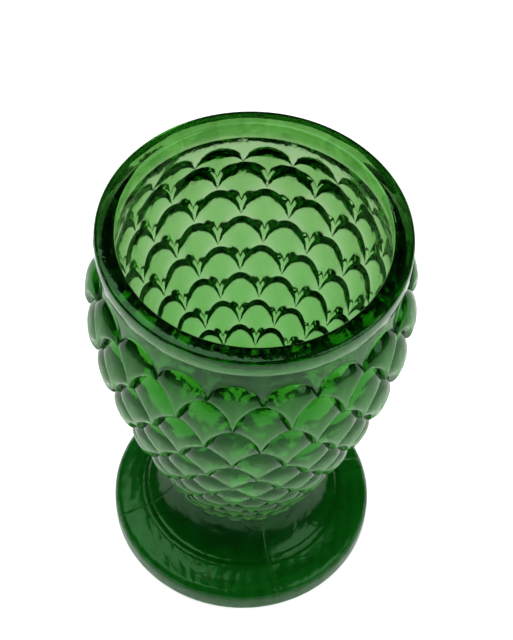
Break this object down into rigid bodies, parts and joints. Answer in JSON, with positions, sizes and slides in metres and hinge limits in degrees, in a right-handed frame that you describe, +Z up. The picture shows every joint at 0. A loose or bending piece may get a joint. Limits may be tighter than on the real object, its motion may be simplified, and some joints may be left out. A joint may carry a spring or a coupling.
{
  "type": "footed glass flower holder",
  "caption": "Deep round glass bowl with rows of round overlapping scales under a plain rim, on a thick round foot; holds cut flowers.",
  "frame": {"origin": "on the table, under the middle of the foot", "axes": "+Z up along the axis of the bowl and foot"},
  "size_m": [0.0962, 0.096, 0.145],
  "materials": {
    "bowl_glass": "clear green pressed glass, fire polished",
    "foot_glass": "thick clear green pressed glass, slightly rippled"
  },
  "bodies": {
    "root": {"bowl": "bowl_glass", "foot": "foot_glass"}
  },
  "joints": []
}
